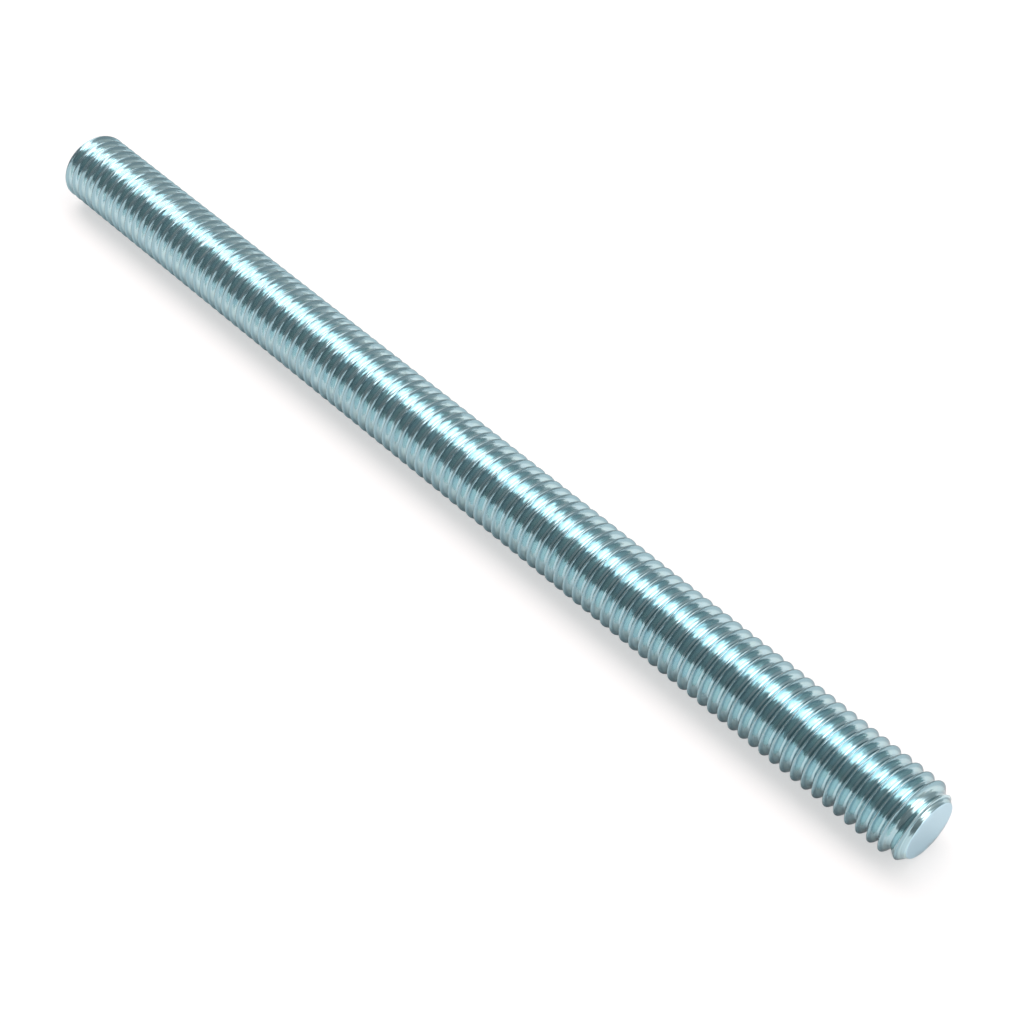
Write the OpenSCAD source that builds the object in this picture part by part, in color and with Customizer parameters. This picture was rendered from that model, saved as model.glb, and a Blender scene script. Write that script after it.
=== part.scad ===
// Threaded rod: a stud with one thread from end to end and a chamfer at each end. The bar was
// chamfered before its thread was rolled, so the last ridges rise steeply from the chamfers.
// It lies along X, with the origin at the middle of its axis and +Z up.
// Sizes are in millimetres.

/* [Rod] */
// Length over both end faces
rod_length = 123; // [20:0.5:170]

/* [Thread] */
// Diameter over the crests
thread_d = 8; // [5:0.5:16]
// Distance from one crest to the next
pitch = 1.25; // [0.9:0.05:2]
// Way the thread winds
thread_hand = "left"; // [left, right]
// Place round the axis where the crest runs out of the +X end, in degrees from +Y towards +Z
thread_start = 265; // [0:5:355]

/* [Ends] */
// How far the edge of the end face lies in from the crests
face_depth = 1.05; // [0.5:0.05:1.5]
// Length of the chamfer along the axis
chamfer_length = 0.35; // [0.1:0.05:0.6]
// Angle between the chamfer and the axis
chamfer_angle = 45; // [30:1:60]
// Angle between the axis and the steep side where the thread begins
runout_angle = 75; // [60:1:80]

/* [Hidden] */

// ISO metric profile: a 60 degree V, cut flat by an eighth of the pitch at the crest
thread_r = thread_d / 2;
v_height = pitch * sqrt(3) / 2;
thread_depth = v_height * 17 / 24;
crest_flat = pitch / 8;
flank_run = thread_depth * tan(30);

// Flat faces, the chamfer round each and the steeper cone that the thread begins on
face_r = thread_r - face_depth;
chamfer_r = face_r + chamfer_length * tan(chamfer_angle);
runout_length = chamfer_length + max(thread_r - chamfer_r, 0) / tan(runout_angle);

// One pitch of the profile, as [place along the axis, radius]
PROFILE = [
    [-crest_flat / 2, thread_r],
    [crest_flat / 2, thread_r],
    [crest_flat / 2 + flank_run, thread_r - thread_depth],
    [pitch - crest_flat / 2 - flank_run, thread_r - thread_depth],
];
CORNERS = len(PROFILE);

// Flat facets round one turn: as many as keep the whole thread under its limit
max_facets = 11200;
facets_per_cell = 2;
sides = 2 * floor(max_facets / (facets_per_cell * CORNERS * rod_length / pitch) / 2);

// The thread is CORNERS helices, each with a point at every step round the axis.
// A facet faces straight down, so that the rod has a flat to lie on.
hand = thread_hand == "right" ? 1 : -1;
first_angle = -90 + 180 / sides;
crest_at_first_angle = rod_length - hand * pitch * (thread_start - first_angle) / 360;
first_x = wrap(crest_at_first_angle, pitch) - 2 * pitch;
last_step = sides * (ceil(rod_length / pitch) + 3);

// Steps near the ends, where the cones cross the thread: there each strip between
// two helices has a further helix in it, which follows the cones' edge
start_zone = sides * (ceil(runout_length / pitch) + 3);
end_zone = last_step - start_zone;

// Where each group of points begins in the list of points
END_RIM = sides;
HELICES = 2 * sides;
EDGES = HELICES + CORNERS * (last_step + 1);

function wrap(value, span) = value - span * floor(value / span);
function step_angle(step) = first_angle + hand * 360 * step / sides;
function step_x(step) = first_x + pitch * step / sides;
function near_end(step) = step <= start_zone || step >= end_zone;

// Radius at x of the chamfer, and past it of the steeper cone
function cone_r(x) =
    let (depth = min(x, rod_length - x))
    depth < chamfer_length ?
        face_r + depth * tan(chamfer_angle) :
        chamfer_r + (depth - chamfer_length) * tan(runout_angle);

// Corner of the profile at a step; corner CORNERS is corner 0 of the next turn
function corner(c, step) =
    let (turn = floor(c / CORNERS))
    PROFILE[c % CORNERS] + [step_x(step + turn * sides), 0];

// Point of the strip between two corners where the cones' edge crosses it, or its middle
function edge(c, step) =
    let (
        a = corner(c, step),
        b = corner(c + 1, step),
        over_a = a.y - cone_r(a.x),
        over_b = b.y - cone_r(b.x),
        share = over_a * over_b < 0 ? over_a / (over_a - over_b) : 0.5
    )
    a + (b - a) * share;

// Point in space: [x, radius] cut by the cones, at a step's angle
function cut(p, step) =
    let (r = min(p.y, cone_r(p.x)), angle = step_angle(step % sides))
    [p.x - rod_length / 2, r * cos(angle), r * sin(angle)];

// Number of a point; all that lie past an end are the one point on that end's rim
function number(p, step, own) =
    p.x <= 0 ? step % sides : p.x >= rod_length ? END_RIM + step % sides : own;
function corner_number(c, step) =
    let (turn = floor(c / CORNERS), s = step + turn * sides)
    number(corner(c, step), step, HELICES + CORNERS * s + c % CORNERS);
function edge_number(c, step) =
    let (row = step <= start_zone ? step : step - end_zone + start_zone + 1)
    number(edge(c, step), step, EDGES + CORNERS * row + c);

// Triangles of a strip between one step and the next
function fan(centre, ring) = [for (n = [0:len(ring) - 2]) [centre, ring[n], ring[n + 1]]];
function cell(c, step) =
    let (
        a = corner_number(c, step),
        b = corner_number(c + 1, step),
        next_b = corner_number(c + 1, step + 1),
        next_a = corner_number(c, step + 1),
        split = near_end(step),
        next_split = near_end(step + 1)
    )
    split && next_split ? fan(edge_number(c, step), [b, next_b, edge_number(c, step + 1), next_a, a]) :
    split ? fan(edge_number(c, step), [b, next_b, next_a, a]) :
    next_split ? fan(edge_number(c, step + 1), [next_a, a, b, next_b]) :
    fan(a, [b, next_b, next_a]);
function is_triangle(f) = f[0] != f[1] && f[1] != f[2] && f[2] != f[0];
function turned(face) = [for (n = [len(face) - 1:-1:0]) face[n]];

// One solid: helices joined by triangles, and a flat face at each end
module threaded_rod() {
    rims = [for (x = [0, rod_length], step = [0:sides - 1]) cut([x, face_r], step)];
    helices = [for (step = [0:last_step], c = [0:CORNERS - 1]) cut(corner(c, step), step)];
    edges = [for (step = [0:last_step], c = [0:CORNERS - 1]) if (near_end(step)) cut(edge(c, step), step)];
    start_face = [for (step = [0:sides - 1]) step];
    end_face = [for (step = [sides - 1:-1:0]) END_RIM + step];
    strips = [
        for (step = [0:last_step - sides - 1], c = [0:CORNERS - 1], f = cell(c, step))
            if (is_triangle(f)) f
    ];
    faces = concat([start_face, end_face], strips);
    color([0.66, 0.78, 0.80])
    polyhedron(
        points = concat(rims, helices, edges),
        faces = hand > 0 ? faces : [for (f = faces) turned(f)],
        convexity = 10
    );
}

threaded_rod();
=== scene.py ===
"""Looks of a threaded rod: a stud of steel with one rolled thread from end to end, zinc plated.

The rod is one piece. Its round thread, run-outs and rounded end edges are one mesh from Geometry
Nodes, in place of the faceted solid that the frame carries. The zinc is a procedural finish, and a
pale floor, a studio sky and a camera show it.
"""

import logging
import math
from dataclasses import dataclass
from enum import Enum
from typing import Optional, Union

import bpy
from mathutils import Matrix, Vector

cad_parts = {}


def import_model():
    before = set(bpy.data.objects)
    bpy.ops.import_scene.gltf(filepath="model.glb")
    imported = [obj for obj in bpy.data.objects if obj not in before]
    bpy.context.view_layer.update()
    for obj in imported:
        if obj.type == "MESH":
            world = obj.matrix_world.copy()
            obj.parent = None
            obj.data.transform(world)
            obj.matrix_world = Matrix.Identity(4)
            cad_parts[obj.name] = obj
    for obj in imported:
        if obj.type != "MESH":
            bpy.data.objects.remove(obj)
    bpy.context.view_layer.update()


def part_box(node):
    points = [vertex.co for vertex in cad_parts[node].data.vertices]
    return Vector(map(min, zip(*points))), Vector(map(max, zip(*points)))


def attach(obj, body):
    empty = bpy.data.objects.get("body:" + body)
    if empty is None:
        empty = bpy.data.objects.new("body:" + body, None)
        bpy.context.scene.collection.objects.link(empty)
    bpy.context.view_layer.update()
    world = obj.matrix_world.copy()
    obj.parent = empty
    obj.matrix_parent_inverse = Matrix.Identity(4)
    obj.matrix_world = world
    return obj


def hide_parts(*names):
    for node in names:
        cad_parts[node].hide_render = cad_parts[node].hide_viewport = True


LOG = logging.getLogger("threaded_rod")
NODE = "threaded_rod"
BODY = "root"
GROOVE = "groove"
MM = 0.001
TURN = 2 * math.pi
Colour = tuple[float, float, float]
Reach = tuple[float, float]
Box = tuple[Vector, Vector]


class Hand(Enum):
    """Which way the thread turns. The value is how many pitches a crest moves along +X a turn."""

    LEFT = -1
    RIGHT = 1


class Field:
    """A number that flows through a node tree. Arithmetic on it adds Math nodes to that tree."""

    def __init__(self, graph: "Graph", socket: bpy.types.NodeSocket) -> None:
        """Names the tree and the output socket that the number comes from."""
        self.graph = graph
        self.socket = socket

    def __add__(self, other: "Value") -> "Field":
        """The sum."""
        return self.graph.math("ADD", self, other)

    def __radd__(self, other: float) -> "Field":
        """The sum, with a plain number first."""
        return self.graph.math("ADD", other, self)

    def __sub__(self, other: "Value") -> "Field":
        """The difference."""
        return self.graph.math("SUBTRACT", self, other)

    def __rsub__(self, other: float) -> "Field":
        """The difference, with a plain number first."""
        return self.graph.math("SUBTRACT", other, self)

    def __mul__(self, other: "Value") -> "Field":
        """The product."""
        return self.graph.math("MULTIPLY", self, other)

    def __rmul__(self, other: float) -> "Field":
        """The product, with a plain number first."""
        return self.graph.math("MULTIPLY", other, self)

    def __truediv__(self, other: "Value") -> "Field":
        """The quotient."""
        return self.graph.math("DIVIDE", self, other)

    def apply(self, operation: str, *others: "Value") -> "Field":
        """The result of a Math node's operation, with this number as its first input."""
        return self.graph.math(operation, self, *others)

    def between(self, low: "Value", high: "Value") -> "Field":
        """The number, held between low and high."""
        return self.apply("MAXIMUM", low).apply("MINIMUM", high)

    def step(self, low: float, high: float) -> "Field":
        """0 below low and 1 above high, with a smooth rise between them."""
        share = ((self - low) / (high - low)).between(0.0, 1.0)
        return share * share * (3.0 - 2.0 * share)


Value = Union[Field, float]
Place = tuple[Field, Field, Field]
Paint = Union[Colour, bpy.types.NodeSocket]


class Graph:
    """Adds nodes to one tree and joins them."""

    PER_ROW = 12
    SPACING = (180, -220)

    def __init__(self, tree: bpy.types.NodeTree) -> None:
        """Names the tree."""
        self.tree = tree

    def add(self, kind: str, **settings: object) -> bpy.types.Node:
        """Adds a node, in rows so that the tree can be read.

        Args:
            kind: the node's type name.
            settings: values for the node's own properties.

        Returns:
            The new node.
        """
        node = self.tree.nodes.new(kind)
        row, column = divmod(len(self.tree.nodes), self.PER_ROW)
        node.location = (self.SPACING[0] * column, self.SPACING[1] * row)
        for name, value in settings.items():
            setattr(node, name, value)
        return node

    def feed(self, socket: bpy.types.NodeSocket, value: object) -> None:
        """Feeds an input socket.

        Args:
            socket: the input socket.
            value: a field or an output socket to link, or a plain value to set.
        """
        if isinstance(value, Field):
            value = value.socket
        if isinstance(value, bpy.types.NodeSocket):
            self.tree.links.new(value, socket)
        else:
            socket.default_value = value

    def call(self, kind: str, inputs: dict[str, object], output: int = 0,
             **settings: object) -> bpy.types.NodeSocket:
        """Adds a node and feeds its inputs.

        Args:
            kind: the node's type name.
            inputs: what goes into each input, by the input's name.
            output: which output is wanted.
            settings: values for the node's own properties.

        Returns:
            The wanted output socket.
        """
        node = self.add(kind, **settings)
        for name, value in inputs.items():
            self.feed(node.inputs[name], value)
        return node.outputs[output]

    def math(self, operation: str, *values: Value) -> Field:
        """Adds a Math node.

        Args:
            operation: the node's operation.
            values: its inputs, in order.

        Returns:
            The result.
        """
        node = self.add("ShaderNodeMath", operation=operation)
        for socket, value in zip(node.inputs, values):
            self.feed(socket, value)
        return Field(self, node.outputs[0])

    def vector_math(self, operation: str, *vectors: bpy.types.NodeSocket) -> bpy.types.NodeSocket:
        """Adds a Vector Math node.

        Args:
            operation: the node's operation.
            vectors: its inputs, in order.

        Returns:
            The result.
        """
        node = self.add("ShaderNodeVectorMath", operation=operation)
        for socket, vector in zip(node.inputs, vectors):
            self.feed(socket, vector)
        return node.outputs[0]

    def vector(self, x: Value, y: Value, z: Value) -> bpy.types.NodeSocket:
        """Joins three numbers to a vector."""
        return self.call("ShaderNodeCombineXYZ", {"X": x, "Y": y, "Z": z})

    def parts(self, vector: bpy.types.NodeSocket) -> Place:
        """Splits a vector.

        Args:
            vector: the vector.

        Returns:
            Its three numbers.
        """
        node = self.add("ShaderNodeSeparateXYZ")
        self.feed(node.inputs[0], vector)
        x, y, z = (Field(self, socket) for socket in node.outputs)
        return x, y, z

    def mix(self, share: Field, first: Paint, second: Paint) -> bpy.types.NodeSocket:
        """Mixes two colours.

        Args:
            share: how much of the second colour there is.
            first: a plain colour or a socket.
            second: a plain colour or a socket.

        Returns:
            The mixed colour.
        """
        inputs: dict[str, object] = {"Factor": share}
        for name, colour in (("A", first), ("B", second)):
            inputs[name] = (*colour, 1.0) if isinstance(colour, tuple) else colour
        return self.call("ShaderNodeMix", inputs, output=2, data_type="RGBA")


@dataclass(frozen=True)
class ThreadForm:
    """A metric thread. The pitch is in metres, and the other sizes are shares of it."""

    pitch: float = 1.25 * MM
    hand: Hand = Hand.LEFT
    start_degrees: float = 265.0
    depth: float = math.sqrt(3) / 2 * 17 / 24
    crest_flat: float = 0.07
    crest_radius: float = 0.055
    root_blend: float = 0.16
    flank_slope: float = math.sqrt(3)

    def height(self, phase: Field) -> Field:
        """The surface's distance below the crests, in pitches.

        The crest has a flat, an arc to each side of it, and then the straight flanks.

        Args:
            phase: how many turns of the thread lie between this point and a crest.

        Returns:
            The depth, which is 0 on a crest.
        """
        from_crest = (phase - phase.apply("ROUND")).apply("ABSOLUTE")
        arc_start = self.crest_flat / 2 - self.crest_radius / math.sqrt(3)
        arc_width = self.crest_radius * math.sqrt(3) / 2
        along = (from_crest - arc_start).between(0.0, arc_width)
        drop = self.crest_radius - (self.crest_radius**2 - along * along).apply("SQRT")
        straight = (from_crest - (arc_start + arc_width)).apply("MAXIMUM", 0.0)
        flank = drop + self.flank_slope * straight
        return flank.apply("SMOOTH_MIN", self.depth, self.root_blend)


@dataclass(frozen=True)
class EndForm:
    """The ends of the rod, and how the thread runs out into them.

    The bar was chamfered before its thread was rolled. So the chamfer reaches only to the roots,
    and the last ridge rises steeply from it. At the +X end that ridge leans towards the end and is
    lower by the share lowering. Both set in over the distances lean_rise from the end, and fade
    over lean_fall. edge_rows and face_rows are the shares of a turn that the mesh gives to the
    rounded edge and to the face.
    """

    face_depth: float = 1.05 * MM
    chamfer_length: float = 0.42 * MM
    chamfer_degrees: float = 34.0
    runout_degrees: float = 78.0
    edge_radius: float = 0.06 * MM
    foot_blend: float = 0.10 * MM
    ridge_blend: float = 0.15 * MM
    lean: float = 0.27 * MM
    lean_rise: Reach = (0.33 * MM, 0.76 * MM)
    lean_fall: Reach = (0.95 * MM, 1.70 * MM)
    lowering: float = 0.40
    edge_rows: float = 0.25
    face_rows: float = 0.25


@dataclass(frozen=True)
class MeshFineness:
    """How many points the thread's mesh has, and how much they crowd at the crests and roots."""

    round_segments: int = 60
    rows_per_turn: int = 16
    crowding: float = 0.7
    weld: float = 1e-6


@dataclass(frozen=True)
class NoiseForm:
    """A noise texture.

    scale is how many waves fit in one unit, and detail is how many finer waves are added. In noise
    that is drawn out along the groove, across and along are how many units a millimetre is, and
    shift moves it to another part of the noise.
    """

    scale: float
    detail: float
    across: float = 0.0
    along: float = 0.0
    shift: float = 0.0


@dataclass(frozen=True)
class Zones:
    """Where a point of the surface lies.

    height is 1 on a crest and 0 in a root. face, crest and front are 1 on an end face, on a crest
    and on a flank that faces +X, and 0 elsewhere.
    """

    height: Field
    face: Field
    crest: Field
    front: Field


@dataclass(frozen=True)
class ZincFinish:
    """Bright zinc plate with a clear blue passivation, over rolled steel.

    The plate changes from blue to teal in clouds, with a pale grain. The upper flanks, fully where
    they face +X and less where they face -X, and the roots carry painted shade: a darker, bluer
    tone for light that bounces twice in the groove. The crests are rubbed, and worn in spots. The
    end faces have their own bluer tone, brightened with painted light for the shadowed floor that
    they mirror, and flanks that face -X get painted light in a brighter grazing tint. Each reach is
    where something sets in and where it is full: on the groove's height, in noise or, for
    face_reach, in millimetres from the end face. side_sharpness is how quickly one flank's look
    gives way to the other's, and least_radius keeps the turned normal steady on the axis, in
    millimetres.
    """

    half_length: float
    blue: Colour = (0.468, 0.665, 0.725)
    teal: Colour = (0.485, 0.680, 0.705)
    pale: Colour = (0.560, 0.675, 0.675)
    # Painted shade: a darker, bluer tone for light that bounces twice in the groove.
    painted_shade_tone: Colour = (0.305, 0.470, 0.525)
    rubbed: Colour = (0.275, 0.430, 0.475)
    worn: Colour = (0.430, 0.500, 0.510)
    # The end faces' own bluer tone, brightened with painted light for the shadowed floor that they
    # mirror.
    face_tone_and_painted_light: Colour = (0.560, 0.805, 0.915)
    edge_tint: Colour = (0.62, 0.60, 0.60)
    back_painted_light_tint: Colour = (1.00, 1.00, 1.00)
    # Painted light: a brighter grazing tint on flanks that face -X, which lifts the dark lines of their
    # shaded grooves.
    crest_edge_tint: Colour = (0.38, 0.36, 0.36)
    roughness: float = 0.17
    roughness_spread: float = 0.06
    crest_roughness: float = 0.34
    crest_reach: Reach = (0.92, 0.975)
    upper_reach: Reach = (0.46, 0.72)
    root_reach: Reach = (0.06, 0.24)
    cloud_reach: Reach = (0.35, 0.65)
    pale_reach: Reach = (0.50, 0.72)
    worn_reach: Reach = (0.48, 0.66)
    face_reach: Reach = (-0.03, -0.01)
    root_painted_shade: float = 0.60
    back_painted_shade: float = 0.30
    side_sharpness: float = 3.0
    grain: NoiseForm = NoiseForm(scale=9.0, detail=3.0)
    grain_height: float = 1.2e-6
    clouds: NoiseForm = NoiseForm(scale=0.9, detail=3.0)
    line_waves: float = 2.6
    streaks: NoiseForm = NoiseForm(scale=2.0, detail=3.0, across=0.5, along=0.7)
    round_lines: NoiseForm = NoiseForm(scale=1.0, detail=2.0, across=0.9, along=1.3)
    axial_lines: NoiseForm = NoiseForm(scale=1.0, detail=2.0, across=0.7, along=1.3, shift=30.0)
    round_wander: float = 0.44
    axial_wander: float = 0.40
    noise_roughness: float = 0.55
    least_radius: float = 0.1

    def material(self) -> bpy.types.Material:
        """Builds the finish.

        Returns:
            The material.
        """
        made = bpy.data.materials.new("zinc_plate")
        made.use_nodes = True
        made.node_tree.nodes.clear()
        graph = Graph(made.node_tree)
        metres = graph.parts(graph.add("ShaderNodeTexCoord").outputs["Object"])
        x, y, z = (part / MM for part in metres)
        place = (x, y, z)
        attribute = graph.add("ShaderNodeAttribute", attribute_name=GROOVE)
        groove = graph.parts(attribute.outputs["Vector"])
        lines = (groove[0] * self.line_waves, groove[1] * self.line_waves)
        zones = self._zones(x, groove)
        grain = self._noise(graph, graph.vector(*place), self.grain)
        streaks = self._line_noise(graph, lines, place, self.streaks)
        normal = self._wandering_normal(graph, lines, place, 1.0 - zones.face)
        bump = graph.call("ShaderNodeBump", {"Strength": 1.0, "Distance": self.grain_height,
                                             "Height": grain, "Normal": normal})
        shader = graph.add("ShaderNodeBsdfPrincipled")
        shader.inputs["Metallic"].default_value = 1.0
        graph.feed(shader.inputs["Base Color"], self._colour(graph, place, grain, zones))
        graph.feed(shader.inputs["Specular Tint"], self._edge_tint(graph, zones))
        graph.feed(shader.inputs["Roughness"], self._roughness(streaks, grain, zones))
        graph.feed(shader.inputs["Normal"], bump)
        output = graph.add("ShaderNodeOutputMaterial")
        graph.feed(output.inputs["Surface"], shader.outputs[0])
        return made

    def _zones(self, x: Field, groove: Place) -> Zones:
        """Finds the zones of the thread.

        Args:
            x: the place along the axis, in millimetres.
            groove: two numbers that go round once a turn of the thread, and the height.

        Returns:
            The zones.
        """
        half = self.half_length / MM
        face = x.apply("ABSOLUTE").step(*(half + edge for edge in self.face_reach))
        crest = groove[2].step(*self.crest_reach) * (1.0 - face)
        front = (0.5 - groove[1] * self.side_sharpness).between(0.0, 1.0)
        return Zones(height=groove[2], face=face, crest=crest, front=front)

    def _colour(self, graph: Graph, place: Place, grain: Field,
                zones: Zones) -> bpy.types.NodeSocket:
        """Mixes the plate's colour, with painted shade in the roots and on the upper flanks, and
        painted light on the end faces.
            zones: where the point lies.

        Returns:
            The colour.
        """
        clouds = self._noise(graph, graph.vector(*place), self.clouds)
        hue = graph.mix(clouds.step(*self.cloud_reach), self.blue, self.teal)
        hue = graph.mix(grain.step(*self.pale_reach), hue, self.pale)
        # Painted shade: the upper flanks (fully where they face +X, less where they face -X) and the
        # roots take a darker, bluer tone, as if light had bounced twice in the groove.
        side = self.back_painted_shade + (1.0 - self.back_painted_shade) * zones.front
        painted_shade_share = zones.height.step(*self.upper_reach) * side
        painted_shade_share = painted_shade_share + self.root_painted_shade * (1.0 - zones.height.step(*self.root_reach))
        shaded = graph.mix(painted_shade_share, hue, self.painted_shade_tone)
        top = graph.mix(grain.step(*self.worn_reach), self.rubbed, self.worn)
        # The end faces get their own bluer tone, made brighter with painted light that makes up for the
        # shadowed floor they mirror.
        return graph.mix(zones.face, graph.mix(zones.crest, shaded, top), self.face_tone_and_painted_light)

    def _edge_tint(self, graph: Graph, zones: Zones) -> bpy.types.NodeSocket:
        """Mixes the metal's tint in grazing light: painted light on flanks that face -X, which lifts
        the dark lines of their shaded grooves, and dark on crests.

        Args:
            graph: the tree to build in.
            zones: where the point lies.

        Returns:
            The tint.
        """
        # Painted light: flanks that face -X take the brighter grazing tint, which lifts the dark lines
        # in their shaded grooves.
        back = (1.0 - zones.front) * (1.0 - zones.face)
        flank = graph.mix(back, self.edge_tint, self.back_painted_light_tint)
        return graph.mix(zones.crest, flank, self.crest_edge_tint)

    def _roughness(self, streaks: Field, grain: Field, zones: Zones) -> Field:
        """Adds the streaks, the grain and the duller crests to the plate's roughness.

        Args:
            streaks: rolling marks along the grooves.
            grain: fine grain of the plate.
            zones: where the point lies.

        Returns:
            The roughness.
        """
        rough = self.roughness + self.roughness_spread * (streaks - 0.5)
        rough = rough + self.roughness_spread * (grain - 0.5)
        return rough + (self.crest_roughness - self.roughness) * zones.crest

    def _wandering_normal(self, graph: Graph, lines: tuple[Field, Field], place: Place,
                          share: Field) -> bpy.types.NodeSocket:
        """Turns the surface a little, line by line, as rolling leaves it.

        Each line follows the groove. The surface turns round the rod and along it.

        Args:
            graph: the tree to build in.
            lines: two numbers that go round once a turn of the thread.
            place: the place in millimetres.
            share: how much of the turning is kept here.

        Returns:
            The turned normal.
        """
        y, z = place[1:]
        round_turn = self._line_noise(graph, lines, place, self.round_lines) - 0.5
        axial_turn = self._line_noise(graph, lines, place, self.axial_lines) - 0.5
        radius = (y * y + z * z).apply("SQRT").apply("MAXIMUM", self.least_radius)
        round_part = round_turn * self.round_wander * share
        axial_part = axial_turn * self.axial_wander * share
        turn = graph.vector(axial_part, -1.0 * z / radius * round_part, y / radius * round_part)
        normal = graph.add("ShaderNodeNewGeometry").outputs["Normal"]
        return graph.vector_math("NORMALIZE", graph.vector_math("ADD", normal, turn))

    def _line_noise(self, graph: Graph, lines: tuple[Field, Field], place: Place,
                    form: NoiseForm) -> Field:
        """Adds noise that is drawn out along the groove.

        Args:
            graph: the tree to build in.
            lines: two numbers that go round once a turn of the thread.
            place: the place in millimetres.
            form: the noise.

        Returns:
            The noise.
        """
        x, y, z = place
        at = graph.vector(*lines, y * form.across + form.shift)
        return self._noise(graph, at, form, z * form.across + x * form.along)

    def _noise(self, graph: Graph, place: bpy.types.NodeSocket, form: NoiseForm,
               fourth: Optional[Field] = None) -> Field:
        """Adds a noise texture and returns its value, near 0.5.

        Args:
            graph: the tree to build in.
            place: the coordinates, in millimetres or in turns.
            form: the noise.
            fourth: the fourth coordinate, if there is one.

        Returns:
            The noise.
        """
        inputs = {"Vector": place, "Scale": form.scale, "Detail": form.detail,
                  "Roughness": self.noise_roughness}
        if fourth is not None:
            inputs["W"] = fourth
        size = "3D" if fourth is None else "4D"
        return Field(graph, graph.call("ShaderNodeTexNoise", inputs, noise_dimensions=size))


class ThreadedRod:
    """The rod: one helical surface that ends in a chamfer and a flat face on each side."""

    def __init__(self, box: Box, thread: ThreadForm, end: EndForm, mesh: MeshFineness,
                 finish: ZincFinish) -> None:
        """Takes the rod's length and diameter from its box in the frame.

        Args:
            box: the lowest and highest corner of the rod's solid.
            thread: the thread's form.
            end: the form of the ends.
            mesh: how fine the mesh is.
            finish: the plate.
        """
        low, high = box
        self.length = high.x - low.x
        self.radius = (high.y - low.y) / 2
        self.thread = thread
        self.end = end
        self.fineness = mesh
        self.finish = finish

    def build(self) -> bpy.types.Object:
        """Makes the rod's mesh and finish.

        Returns:
            The rod, in place.
        """
        tree, sockets = self._tree()
        rod = bpy.data.objects.new("rod", bpy.data.meshes.new("rod_seed"))
        bpy.context.scene.collection.objects.link(rod)
        modifier = rod.modifiers.new("helical_thread", "NODES")
        modifier.node_group = tree
        for name, value in self._sizes().items():
            modifier[sockets[name]] = value
        modifier[sockets["Finish"]] = self.finish.material()
        graph = bpy.context.evaluated_depsgraph_get()
        shaped = rod.evaluated_get(graph)
        mesh = bpy.data.meshes.new_from_object(shaped, preserve_all_data_layers=True, depsgraph=graph)
        mesh.name = "threaded_rod_surface"
        rod.modifiers.remove(modifier)
        rod.data = mesh
        return rod

    def _sizes(self) -> dict[str, float]:
        """The value of each named input of the tree."""
        return {
            "Length": self.length,
            "Radius": self.radius,
            "Pitch": self.thread.pitch,
            "Hand": float(self.thread.hand.value),
            "Start Angle": math.radians(self.thread.start_degrees),
            "Face Depth": self.end.face_depth,
            "Chamfer Length": self.end.chamfer_length,
            "Chamfer Angle": math.radians(self.end.chamfer_degrees),
            "Run-out Angle": math.radians(self.end.runout_degrees),
            "Last Ridge Lean": self.end.lean,
            "Edge Radius": self.end.edge_radius,
            "Ridge Blend": self.end.ridge_blend,
            "Segments": self.fineness.round_segments,
            "Rows Per Turn": self.fineness.rows_per_turn,
        }

    def _tree(self) -> tuple[bpy.types.NodeTree, dict[str, str]]:
        """Builds the Geometry Nodes tree of the rod.

        Returns:
            The tree, and the identifier of each of its named inputs.
        """
        tree = bpy.data.node_groups.new("helical_thread", "GeometryNodeTree")
        sockets = {}
        for name, value in self._sizes().items():
            kind = "NodeSocketInt" if isinstance(value, int) else "NodeSocketFloat"
            sockets[name] = tree.interface.new_socket(name, in_out="INPUT", socket_type=kind).identifier
        finish = tree.interface.new_socket("Finish", in_out="INPUT", socket_type="NodeSocketMaterial")
        sockets["Finish"] = finish.identifier
        tree.interface.new_socket("Geometry", in_out="OUTPUT", socket_type="NodeSocketGeometry")
        graph = Graph(tree)
        entry = graph.add("NodeGroupInput")
        size = {name: Field(graph, entry.outputs[name]) for name in self._sizes()}

        margin = self.end.edge_rows + self.end.face_rows
        backward = (1.0 - size["Hand"]) * 0.5
        first_turn = -1.0 * (backward + margin)
        turns = size["Length"] / size["Pitch"] + 1.0 + 2 * margin
        rows = (turns * size["Rows Per Turn"]).apply("CEIL") + 1.0
        columns = size["Segments"] + 1.0
        grid = graph.call("GeometryNodeMeshGrid", {"Vertices X": rows, "Vertices Y": columns})

        index = Field(graph, graph.add("GeometryNodeInputIndex").outputs[0])
        row = (index / columns).apply("FLOOR")
        around = (index - row * columns) / size["Segments"]
        even_turn = first_turn + row / size["Rows Per Turn"]
        crowd = self.fineness.crowding / (2 * TURN)
        phase = even_turn - crowd * (2 * TURN * even_turn).apply("SINE")
        place, groove = self._surface(graph, size, phase, around)

        shaped = graph.call("GeometryNodeSetPosition", {"Geometry": grid, "Position": place})
        named = {"Geometry": shaped, "Name": GROOVE, "Value": groove}
        marked = graph.call("GeometryNodeStoreNamedAttribute", named, data_type="FLOAT_VECTOR",
                            domain="POINT")
        joined = {"Geometry": marked, "Distance": self.fineness.weld}
        welded = graph.call("GeometryNodeMergeByDistance", joined)
        cut = graph.call("GeometryNodeTriangulate", {"Mesh": welded}, quad_method="SHORTEST_DIAGONAL")
        smooth = graph.call("GeometryNodeSetShadeSmooth", {"Geometry": cut, "Shade Smooth": True})
        real = graph.call("GeometryNodeRealizeInstances", {"Geometry": smooth})
        finished = {"Geometry": real, "Material": entry.outputs["Finish"]}
        dressed = graph.call("GeometryNodeSetMaterial", finished)
        graph.feed(graph.add("NodeGroupOutput").inputs[0], dressed)
        return tree, sockets

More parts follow.
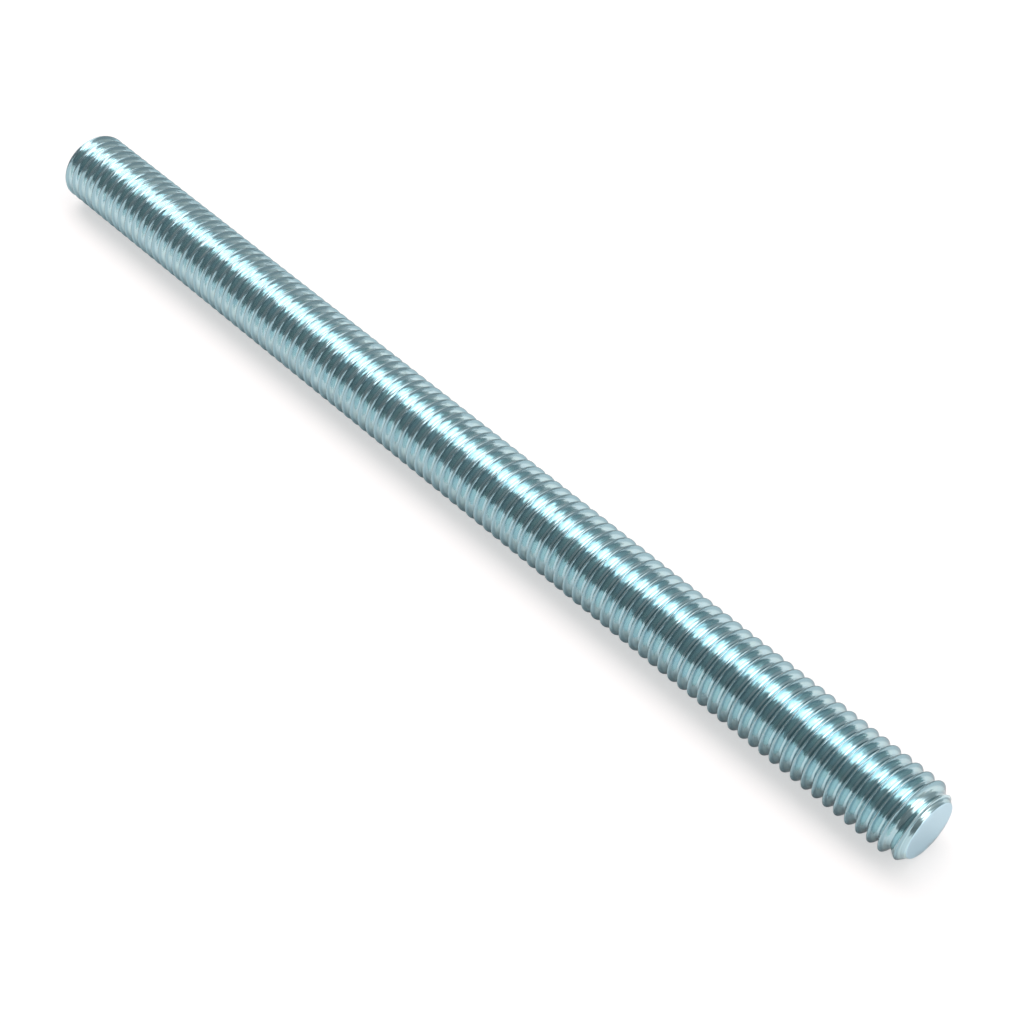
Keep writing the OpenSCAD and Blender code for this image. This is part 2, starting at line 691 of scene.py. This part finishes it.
    def _surface(self, graph: Graph, size: dict[str, Field], phase: Field,
                 around: Field) -> tuple[bpy.types.NodeSocket, bpy.types.NodeSocket]:
        """Places each point of the grid on the rod.

        Args:
            graph: the tree to build in.
            size: the tree's named inputs.
            phase: how many turns of the thread lie between the +X end and this point.
            around: the share of a turn round the axis.

        Returns:
            The place, and the groove vector: two numbers that go round once a turn of the thread, and
            how high the point lies between root and crest.
        """
        half = size["Length"] * 0.5
        even = half + size["Pitch"] * (size["Hand"] * around - phase)
        side = even.apply("SIGN")
        gap = half - even.apply("ABSOLUTE")
        # 1 on the last ridge at the +X end, and 0 elsewhere.
        last = gap.step(*self.end.lean_rise) * (1.0 - gap.step(*self.end.lean_fall))
        last = last * even.apply("GREATER_THAN", 0.0)
        along = half - gap + size["Last Ridge Lean"] * last
        reach, outline = self._outline(size, half, along)

        depth = self.thread.height(phase)
        share = 1.0 - depth / self.thread.depth
        root = size["Radius"] - self.thread.depth * size["Pitch"]
        ridge = root + (size["Radius"] - root) * share * (1.0 - self.end.lowering * last)
        radius = ridge.apply("SMOOTH_MIN", outline, size["Ridge Blend"])
        angle = size["Start Angle"] + TURN * around
        across = (radius * angle.apply("COSINE"), radius * angle.apply("SINE"))
        place = graph.vector(side * reach, *across)
        swing = TURN * phase
        groove = graph.vector(swing.apply("COSINE"), swing.apply("SINE"), share)
        return place, groove

    def _outline(self, size: dict[str, Field], half: Field, along: Field) -> tuple[Field, Field]:
        """Bounds the rod at its ends: a flat face, a rounded edge, a chamfer and a steep run-out.

        The face's edge is an arc between the chamfer and the face. It starts back from the sharp
        corner. Past the chamfer the outline rises more steeply, up to the crest of the last ridge.

        Args:
            size: the tree's named inputs.
            half: half the rod's length.
            along: the point's distance from the rod's middle, which may lie past the end.

        Returns:
            How far from the middle the point lies on the rod, and the outline's radius there.
        """
        slant = size["Chamfer Angle"]
        edge = size["Edge Radius"]
        face_radius = size["Radius"] - size["Face Depth"]
        back = edge * (math.pi / 4 - slant * 0.5).apply("TANGENT")
        cone_end = half - back * slant.apply("COSINE")
        past = (along - cone_end) / size["Pitch"]
        turned = slant + (math.pi / 2 - slant) * (past / self.end.edge_rows).between(0.0, 1.0)
        inward = ((past - self.end.edge_rows) / self.end.face_rows).between(0.0, 1.0)
        on_cone = along.apply("MINIMUM", cone_end)
        reach = on_cone + edge * (turned.apply("SINE") - slant.apply("SINE"))
        cone = face_radius + (half - on_cone) * slant.apply("TANGENT")
        past_chamfer = half - on_cone - size["Chamfer Length"]
        foot = face_radius + size["Chamfer Length"] * slant.apply("TANGENT")
        steep = foot + past_chamfer * size["Run-out Angle"].apply("TANGENT")
        cone = cone.apply("SMOOTH_MAX", steep, self.end.foot_blend)
        rounding = edge * (turned.apply("COSINE") - slant.apply("COSINE"))
        return reach, (cone + rounding) * (1.0 - inward)


@dataclass(frozen=True)
class SkyBand:
    """One place in the sky: its angle in degrees, and how strong it is there."""

    angle: float
    strength: float


@dataclass(frozen=True)
class StudioSky:
    """A sky that lights the rod: one long soft light overhead between darker walls.

    Round angles go round the rod's axis: 0 is the level front, 90 is straight up, and 180 is the
    level back. Lean angles go from that ring towards the ends: 90 is straight along +X.
    """

    walls: tuple[SkyBand, ...] = (
        SkyBand(-20.0, 1.00),
        SkyBand(13.0, 0.24),
        SkyBand(66.0, 0.34),
        SkyBand(118.0, 0.75),
        SkyBand(150.0, 0.47),
        SkyBand(180.0, 0.56),
    )
    lamp_round: tuple[SkyBand, ...] = (
        SkyBand(70.0, 0.00),
        SkyBand(91.0, 1.00),
        SkyBand(105.0, 1.00),
        SkyBand(131.0, 0.00),
    )
    lamp_lean: tuple[SkyBand, ...] = (
        SkyBand(-75.0, 0.00),
        SkyBand(-30.0, 0.86),
        SkyBand(-12.0, 1.15),
        SkyBand(10.0, 0.45),
        SkyBand(40.0, 0.45),
        SkyBand(52.0, 0.90),
        SkyBand(90.0, 0.90),
    )
    lamp_strength: float = 3.5
    lamp_colour: Colour = (1.10, 0.98, 0.96)

    def build(self) -> None:
        """Sets the scene's world."""
        world = bpy.data.worlds.new("studio_sky")
        world.use_nodes = True
        world.node_tree.nodes.clear()
        bpy.context.scene.world = world
        graph = Graph(world.node_tree)
        x, y, z = graph.parts(graph.add("ShaderNodeTexCoord").outputs["Generated"])
        turn = z.apply("ARCTAN2", -1.0 * y) * math.degrees(1.0)
        lean = x.between(-1.0, 1.0).apply("ARCSINE") * math.degrees(1.0)
        lamp = self._level(turn, self.lamp_round) * self._level(lean, self.lamp_lean)
        lamp = lamp * self.lamp_strength
        wall = self._level(turn, self.walls)
        light = graph.vector(*(wall + lamp * part for part in self.lamp_colour))
        shine = graph.call("ShaderNodeBackground", {"Color": light, "Strength": 1.0})
        graph.feed(graph.add("ShaderNodeOutputWorld").inputs["Surface"], shine)

    def _level(self, angle: Field, bands: tuple[SkyBand, ...]) -> Value:
        """Rises and falls from band to band.

        Args:
            angle: the angle, in degrees.
            bands: the level at some angles, in order.

        Returns:
            The level there.
        """
        level: Value = bands[0].strength
        for band, following in zip(bands, bands[1:]):
            rise = following.strength - band.strength
            level = angle.step(band.angle, following.angle) * rise + level
        return level


@dataclass(frozen=True)
class Studio:
    """The floor and the camera.

    The glows are the shares of plain white in the floor, as the camera sees it and as metal and
    glass mirror it.
    """

    floor_half: float = 8.0
    floor_colour: Colour = (0.95, 0.95, 0.95)
    floor_glow: float = 0.55
    mirrored_glow: float = 0.15
    azimuth: float = 47.604
    elevation: float = 47.035
    distance: float = 212.92 * MM
    lens: float = 75.69
    aim_right: float = 6.18 * MM
    aim_up: float = -6.271 * MM
    clip: Reach = (0.01, 20.0)

    def build_floor(self, level: float) -> bpy.types.Object:
        """Lays a pale floor.

        Args:
            level: its height.

        Returns:
            The floor.
        """
        ways = ((-1, -1), (1, -1), (1, 1), (-1, 1))
        corners = [(self.floor_half * x, self.floor_half * y, level) for x, y in ways]
        mesh = bpy.data.meshes.new("floor")
        mesh.from_pydata(corners, [], [(0, 1, 2, 3)])
        floor = bpy.data.objects.new("floor", mesh)
        bpy.context.scene.collection.objects.link(floor)
        mesh.materials.append(self._paper())
        return floor

    def _paper(self) -> bpy.types.Material:
        """Builds the floor's paper, which glows a little so that it looks white.

        Returns:
            The material.
        """
        paint = bpy.data.materials.new("floor_paper")
        paint.use_nodes = True
        paint.node_tree.nodes.clear()
        graph = Graph(paint.node_tree)
        paper = graph.call("ShaderNodeBsdfDiffuse", {"Color": (*self.floor_colour, 1.0)})
        glow = graph.call("ShaderNodeEmission", {"Color": (1.0, 1.0, 1.0, 1.0), "Strength": 1.0})
        path = graph.add("ShaderNodeLightPath")
        seen = Field(graph, path.outputs["Is Camera Ray"]) * self.floor_glow
        for name in ("Is Glossy Ray", "Is Transmission Ray"):
            seen = seen + Field(graph, path.outputs[name]) * self.mirrored_glow
        mix = graph.add("ShaderNodeMixShader")
        for socket, value in zip(mix.inputs, (seen, paper, glow)):
            graph.feed(socket, value)
        graph.feed(graph.add("ShaderNodeOutputMaterial").inputs["Surface"], mix.outputs[0])
        return paint

    def build_camera(self, centre: Vector) -> bpy.types.Object:
        """Sets up the camera, which looks down on the rod along its length.

        Args:
            centre: the middle of the rod.

        Returns:
            The camera.
        """
        turn, rise = math.radians(self.azimuth), math.radians(self.elevation)
        right = Vector((math.cos(turn), math.sin(turn), 0.0))
        level = math.cos(rise)
        back = Vector((math.sin(turn) * level, -math.cos(turn) * level, math.sin(rise)))
        up = back.cross(right)
        place = centre + self.aim_right * right + self.aim_up * up + self.distance * back
        data = bpy.data.cameras.new("camera")
        data.lens = self.lens
        data.clip_start, data.clip_end = self.clip
        camera = bpy.data.objects.new("camera", data)
        bpy.context.scene.collection.objects.link(camera)
        axes = Matrix((right, up, back)).transposed().to_4x4()
        camera.matrix_world = Matrix.Translation(place) @ axes
        bpy.context.scene.camera = camera
        return camera


def main() -> None:
    """Builds the rod and its studio, in order."""
    logging.basicConfig(level=logging.INFO, format="%(message)s")
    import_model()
    bpy.context.scene.view_settings.view_transform = "Standard"

    low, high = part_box(NODE)
    finish = ZincFinish(half_length=high.x)
    rod = ThreadedRod((low, high), ThreadForm(), EndForm(), MeshFineness(), finish)
    piece = rod.build()
    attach(piece, BODY)
    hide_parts(NODE)
    LOG.info("%s: %d faces", piece.name, len(piece.data.polygons))

    studio = Studio()
    studio.build_floor(-rod.radius)
    studio.build_camera((low + high) / 2)
    StudioSky().build()
    LOG.info("floor, camera and sky are set")


if __name__ == "__main__":
    main()
